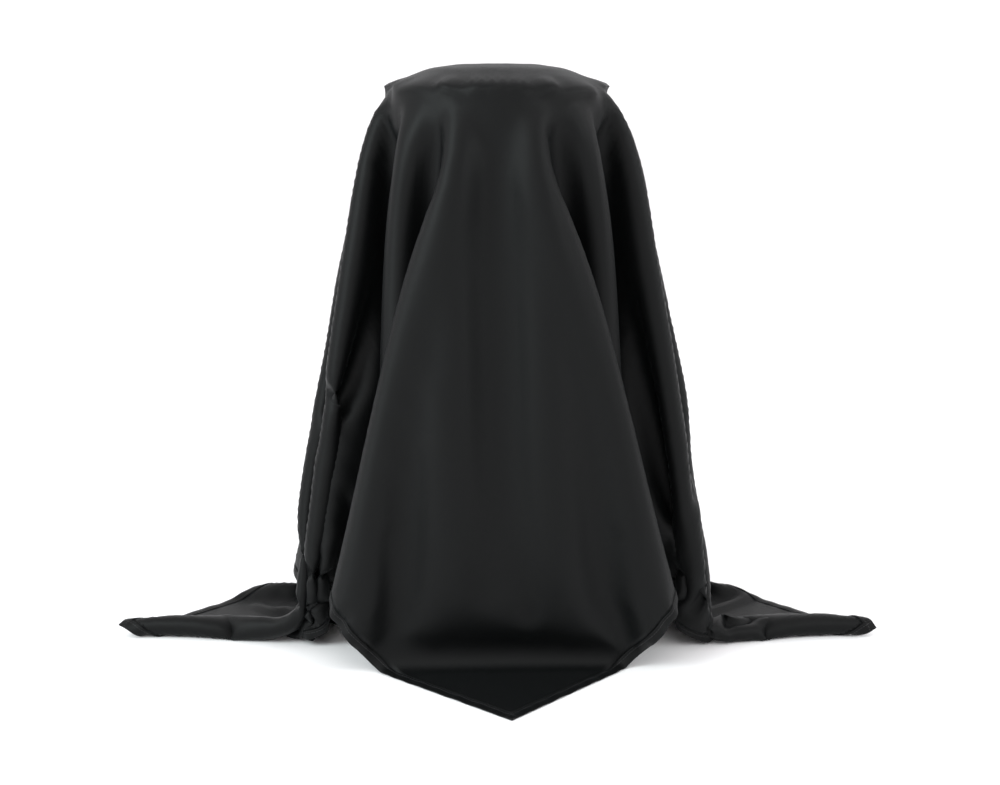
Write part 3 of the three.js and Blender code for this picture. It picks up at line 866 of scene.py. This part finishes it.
def build_closure(cloth, hem_satin, thread, steel):
    place = closure()
    for side, body, height in ((1, "outer", TAB_OUTER), (-1, "inner", TAB_INNER)):
        piece = tab(f"sewn_tab_{body}", cloth, place, side, height, hem_satin)
        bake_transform(piece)
        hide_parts(f"neck_tab_{body}")
        row = tab_stitches(f"stitches_tab_{body}", place, side, height, thread)
        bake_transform(row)
        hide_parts(f"stitching_neck_tab_{body}")
    outer_face = (TAB_OUTER + TAB_HALF) / MM
    cap = [(0.02, outer_face), (5.6, outer_face), (6.0, outer_face + 0.3), (5.8, outer_face + 0.8),
           (4.6, outer_face + 1.4), (2.4, outer_face + 1.8), (0.02, outer_face + 1.9)]
    belongs(turned("pressed_cap", place, cap, 0, steel), "outer_tab", "steel", "snap_cap")
    under = (TAB_OUTER - TAB_HALF) / MM
    stud = [(0.02, under - 1.9), (1.6, under - 1.9), (2.1, under - 1.5), (1.9, under - 0.7), (5.0, under - 0.5),
            (5.0, under), (0.02, under)]
    belongs(turned("pressed_stud", place, stud, 0, steel), "outer_tab", "steel", "snap_stud")
    front = (TAB_INNER + TAB_HALF) / MM
    back = (TAB_INNER - TAB_HALF) / MM
    ring = [(2.9, front), (5.5, front), (5.6, front + 0.8), (4.9, front + 1.7), (3.4, front + 1.7),
            (2.9, front + 1.0)]
    plate = [(1.8, back - 0.9), (5.2, back - 0.9), (5.5, back - 0.4), (5.5, back), (1.8, back)]
    for offset, name in ((0.0, "snap_socket"), (-SNAP_PITCH, "snap_socket_wide_neck")):
        socket = turned(f"pressed_{name}", place, ring, offset, steel)
        belongs(socket, "inner_tab", "steel", name)
        socket_back = turned(f"pressed_{name}_back", place, plate, offset, steel)
        belongs(socket_back, "inner_tab", "steel", f"{name}_back")


# ---------------------------------------------------------------- the studio


def studio():
    floor_material = bpy.data.materials.new("Pale table")
    floor_material.use_nodes = True
    tree = floor_material.node_tree
    surface = tree.nodes["Principled BSDF"]
    surface.inputs["Base Color"].default_value = (0.97, 0.965, 0.97, 1)
    surface.inputs["Roughness"].default_value = 0.7
    floor = mesh_object("floor", [(-30, -30, 0), (30, -30, 0), (30, 30, 0), (-30, 30, 0)], [(0, 1, 2, 3)])
    floor.data.materials.append(floor_material)
    world = bpy.data.worlds.new("Studio")
    bpy.context.scene.world = world
    world.use_nodes = True
    world.node_tree.nodes["Background"].inputs["Color"].default_value = (1.0, 0.985, 1.0, 1)
    world.node_tree.nodes["Background"].inputs["Strength"].default_value = 1.12
    for name, place, size, power, color in (
        ("Left softbox", (-1.9, -1.5, 1.5), 1.2, 48, (0.90, 1.0, 1.0)),
        ("Right softbox", (2.0, -1.0, 1.4), 1.0, 14, (0.95, 1.0, 1.0)),
        ("Front top softbox", (0.2, -1.9, 2.3), 1.4, 9, (1.0, 0.99, 0.96)),
    ):
        softbox(name, place, size, power, color)


def softbox(name, place, size, power, color):
    light = bpy.data.lights.new(name, "AREA")
    light.size = size
    light.energy = power
    light.color = color
    obj = bpy.data.objects.new(name, light)
    obj.location = place
    obj.rotation_euler = (Vector((0, AXIS_Y, 0.3)) - obj.location).to_track_quat("-Z", "Y").to_euler()
    bpy.context.scene.collection.objects.link(obj)


def camera():
    lens = bpy.data.cameras.new("Camera")
    lens.lens = CAMERA_LENS
    lens.sensor_width = 36
    lens.clip_end = 100
    obj = bpy.data.objects.new("Camera", lens)
    obj.location = CAMERA_PLACE
    obj.rotation_euler = (math.radians(90 - CAMERA_PITCH), 0, 0)
    bpy.context.scene.collection.objects.link(obj)
    bpy.context.scene.camera = obj


def main():
    cloth = Cloth(settled_cloth(SETTLING_SECONDS))
    build_cape(cloth)
    studio()
    camera()
    bpy.context.scene.view_settings.view_transform = "Standard"


main()
